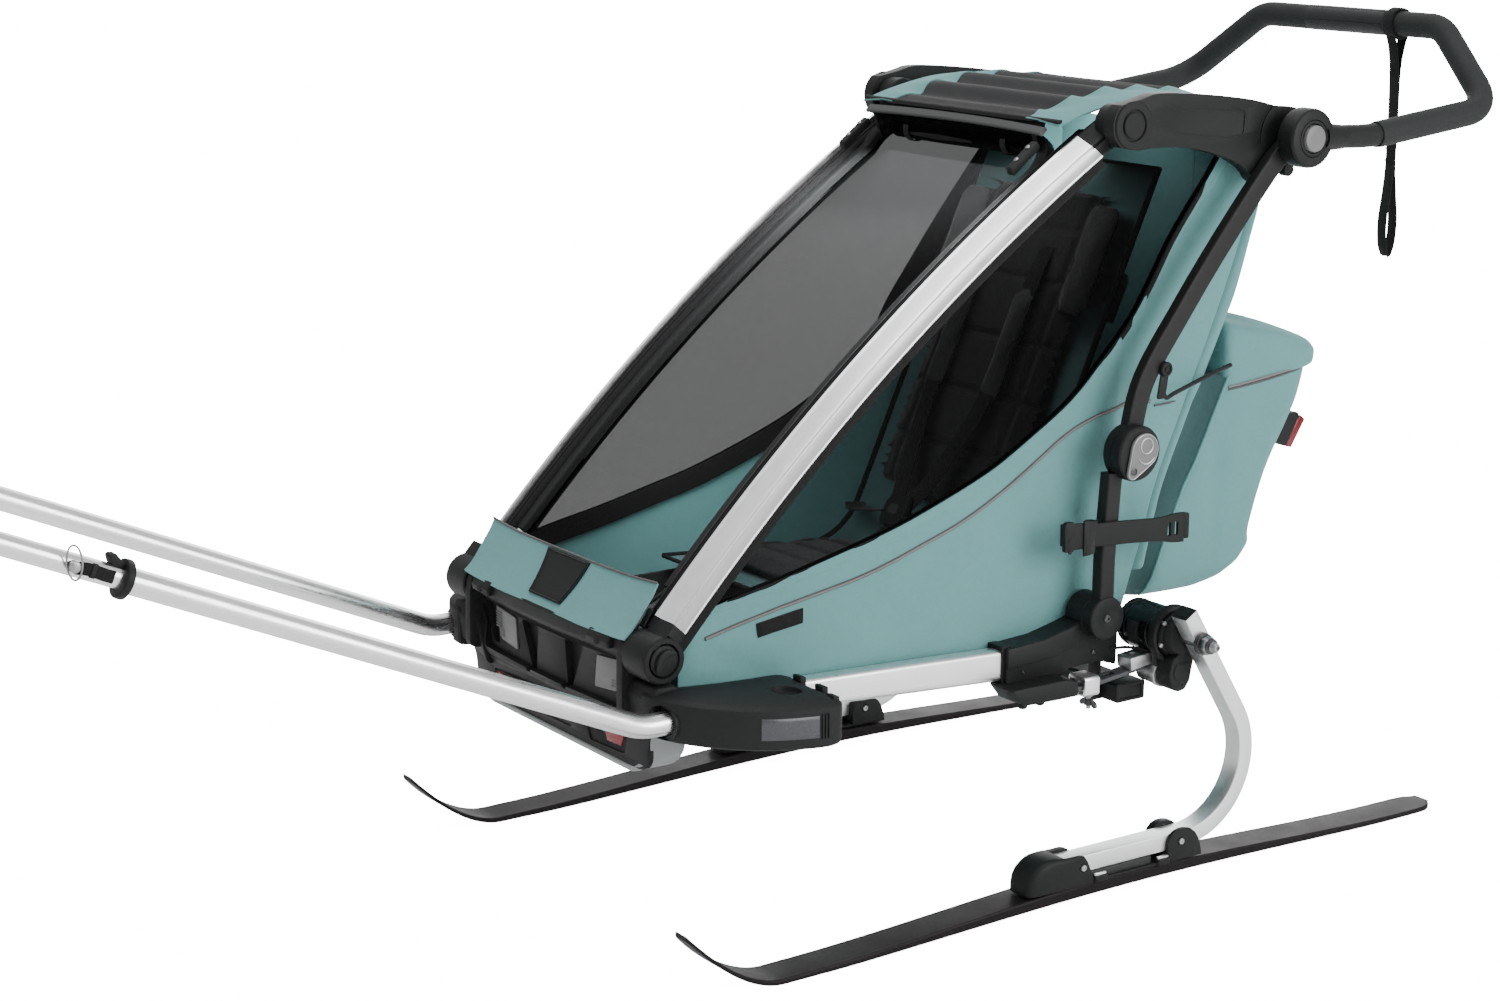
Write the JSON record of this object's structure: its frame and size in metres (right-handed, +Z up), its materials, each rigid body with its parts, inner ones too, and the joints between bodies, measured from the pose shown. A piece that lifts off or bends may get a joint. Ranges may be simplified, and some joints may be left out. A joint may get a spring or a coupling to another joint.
{
  "type": "ski child trailer",
  "caption": "Folding child trailer cabin on leaf-sprung skis, with bent pull bars, a tilting push handlebar, a tinted front window and a rear bag with a lid.",
  "frame": {"origin": "on the snow, below the middle of the overall length and width", "axes": "+Z up, -Y the way it travels (towards the pull bars), +X the child's left-hand side"},
  "size_m": [0.73, 2.732, 0.9524],
  "materials": {
    "alloy": "satin anodised extrusion",
    "cast_alloy": "bead-blasted casting",
    "steel": "plain turned steel",
    "black_plastic": "fine-grained moulded plastic",
    "grey_plastic": "satin moulded plastic",
    "teal_fabric": "coated plain-weave polyester",
    "dark_fabric": "coarse black weave",
    "window_film": "tinted flexible clear film",
    "grip_foam": "matt closed-cell foam",
    "webbing": "woven webbing",
    "spring_composite": "satin glass-fibre leaf",
    "ski_laminate": "satin laminate with a dark top sheet"
  },
  "bodies": {
    "chassis": {"side_rail_left": "alloy", "side_rail_right": "alloy", "corner_socket_left": "black_plastic", "corner_socket_right": "black_plastic", "lower_upright_left": "black_plastic", "lower_upright_right": "black_plastic", "bumper_hoop": "grey_plastic", "front_panel": "black_plastic", "footwell_tub": "dark_fabric", "front_cross_tube": "alloy", "rear_cross_tube": "alloy", "seat": "dark_fabric", "cabin_side_left": "teal_fabric", "cabin_side_right": "teal_fabric", "rear_panel": "teal_fabric", "cargo_bag": "teal_fabric", "storage_clip": "black_plastic", "leaf_spring_left": "spring_composite", "leaf_spring_right": "spring_composite"},
    "front_frame": {"pillar_left": "alloy", "pillar_right": "alloy", "pillar_foot_left": "black_plastic", "pillar_foot_right": "black_plastic", "pillar_head_left": "black_plastic", "pillar_head_right": "black_plastic", "header_bar": "black_plastic", "front_window": "window_film"},
    "top_frame": {"top_bracket_left": "black_plastic", "top_bracket_right": "black_plastic", "roof": "teal_fabric"},
    "uprights": {"upper_upright_left": "black_plastic", "upper_upright_right": "black_plastic"},
    "handlebar": {"handlebar": "black_plastic", "handle_grip": "grip_foam", "wrist_strap": "webbing"},
    "bag_lid": {"bag_lid": "teal_fabric"},
    "foot_lock_left": {"foot_lock_left": "black_plastic"},
    "fold_lock_left": {"fold_lock_left": "grey_plastic"},
    "handle_button_left": {"handle_button_left": "grey_plastic"},
    "pull_bar_left": {"pull_bar_left": "alloy"},
    "pull_bar_front_left": {"pull_bar_front_left": "alloy"},
    "lock_pin_left": {"lock_pin_left": "steel"},
    "suspension_left": {"hub_brake_left": "black_plastic"},
    "spring_clamp_left": {"spring_clamp_left": "cast_alloy"},
    "ski_set_left": {"axle_left": "steel", "ski_arm_left": "alloy", "ski_shoe_left": "black_plastic", "ski_left": "ski_laminate"},
    "foot_lock_right": {"foot_lock_right": "black_plastic"},
    "fold_lock_right": {"fold_lock_right": "grey_plastic"},
    "handle_button_right": {"handle_button_right": "grey_plastic"},
    "pull_bar_right": {"pull_bar_right": "alloy"},
    "pull_bar_front_right": {"pull_bar_front_right": "alloy"},
    "lock_pin_right": {"lock_pin_right": "steel"},
    "suspension_right": {"hub_brake_right": "black_plastic"},
    "spring_clamp_right": {"spring_clamp_right": "cast_alloy"},
    "ski_set_right": {"axle_right": "steel", "ski_arm_right": "alloy", "ski_shoe_right": "black_plastic", "ski_right": "ski_laminate"}
  },
  "joints": [
    {"name": "fold", "type": "hinge", "parent": "chassis", "child": "front_frame", "pos_m": [0, 0.17862, 0.336], "axis": [-1, 0, 0], "range_deg": [0, 26], "deforming": ["cabin_side_left", "cabin_side_right", "rear_panel", "seat"]},
    {"name": "top_fold", "type": "hinge", "parent": "front_frame", "child": "top_frame", "pos_m": [0, 0.78362, 0.853], "axis": [1, 0, 0], "range_deg": [0, 48]},
    {"name": "upright_fold", "type": "hinge", "parent": "chassis", "child": "uprights", "pos_m": [0, 0.78062, 0.49], "axis": [-1, 0, 0], "range_deg": [0, 40.5]},
    {"name": "handle_tilt", "type": "hinge", "parent": "top_frame", "child": "handlebar", "pos_m": [0, 1.01962, 0.828], "axis": [1, 0, 0], "range_deg": [-50, 65], "deforming": ["wrist_strap"]},
    {"name": "bag_lid_hinge", "type": "hinge", "parent": "chassis", "child": "bag_lid", "pos_m": [0, 0.98562, 0.56], "axis": [-1, 0, 0], "range_deg": [-60, 0]},
    {"name": "handle_button_press_left", "type": "slide", "parent": "handlebar", "child": "handle_button_left", "axis": [-1, 0, 0], "range_m": [0, 0.003], "stiffness_N_per_m": 600, "springref_m": -0.003},
    {"name": "fold_lock_turn_left", "type": "hinge", "parent": "chassis", "child": "fold_lock_left", "pos_m": [0.262, 0.78062, 0.49], "axis": [1, 0, 0], "range_deg": [0, 40]},
    {"name": "foot_lock_turn_left", "type": "hinge", "parent": "front_frame", "child": "foot_lock_left", "pos_m": [0.2138, 0.17862, 0.336], "axis": [1, 0, 0], "range_deg": [0, 90]},
    {"name": "pull_bar_slide_left", "type": "slide", "parent": "chassis", "child": "pull_bar_left", "axis": [0, -1, 0], "range_m": [0, 0.12]},
    {"name": "pull_bar_front_slide_left", "type": "slide", "parent": "pull_bar_left", "child": "pull_bar_front_left", "axis": [0, -0.9159, 0.4014], "range_m": [0, 0.1]},
    {"name": "lock_pin_slide_left", "type": "slide", "parent": "pull_bar_front_left", "child": "lock_pin_left", "axis": [1, 0, 0], "range_m": [0, 0.035]},
    {"name": "suspension_travel_left", "type": "slide", "parent": "chassis", "child": "suspension_left", "axis": [0, 0, 1], "range_m": [0, 0.012], "stiffness_N_per_m": 9000, "springref_m": -0.01, "deforming": ["leaf_spring_left"]},
    {"name": "ski_set_release_left", "type": "slide", "parent": "suspension_left", "child": "ski_set_left", "axis": [1, 0, 0], "range_m": [0, 0.08]},
    {"name": "spring_clamp_slide_left", "type": "slide", "parent": "chassis", "child": "spring_clamp_left", "axis": [0, 1, 0], "range_m": [-0.008, 0.016]},
    {"name": "handle_button_press_right", "type": "slide", "parent": "handlebar", "child": "handle_button_right", "axis": [1, 0, 0], "range_m": [0, 0.003], "stiffness_N_per_m": 600, "springref_m": -0.003},
    {"name": "fold_lock_turn_right", "type": "hinge", "parent": "chassis", "child": "fold_lock_right", "pos_m": [-0.262, 0.78062, 0.49], "axis": [-1, 0, 0], "range_deg": [0, 40]},
    {"name": "foot_lock_turn_right", "type": "hinge", "parent": "front_frame", "child": "foot_lock_right", "pos_m": [-0.2138, 0.17862, 0.336], "axis": [-1, 0, 0], "range_deg": [0, 90]},
    {"name": "pull_bar_slide_right", "type": "slide", "parent": "chassis", "child": "pull_bar_right", "axis": [0, -1, 0], "range_m": [0, 0.12]},
    {"name": "pull_bar_front_slide_right", "type": "slide", "parent": "pull_bar_right", "child": "pull_bar_front_right", "axis": [0, -0.9159, 0.4014], "range_m": [0, 0.1]},
    {"name": "lock_pin_slide_right", "type": "slide", "parent": "pull_bar_front_right", "child": "lock_pin_right", "axis": [-1, 0, 0], "range_m": [0, 0.035]},
    {"name": "suspension_travel_right", "type": "slide", "parent": "chassis", "child": "suspension_right", "axis": [0, 0, 1], "range_m": [0, 0.012], "stiffness_N_per_m": 9000, "springref_m": -0.01, "deforming": ["leaf_spring_right"]},
    {"name": "ski_set_release_right", "type": "slide", "parent": "suspension_right", "child": "ski_set_right", "axis": [-1, 0, 0], "range_m": [0, 0.08]},
    {"name": "spring_clamp_slide_right", "type": "slide", "parent": "chassis", "child": "spring_clamp_right", "axis": [0, 1, 0], "range_m": [-0.008, 0.016]}
  ],
  "couplings": [
    {"joint": "top_fold", "follows": "fold", "ratio": 1.8154},
    {"joint": "upright_fold", "follows": "fold", "ratio": 1.527}
  ]
}
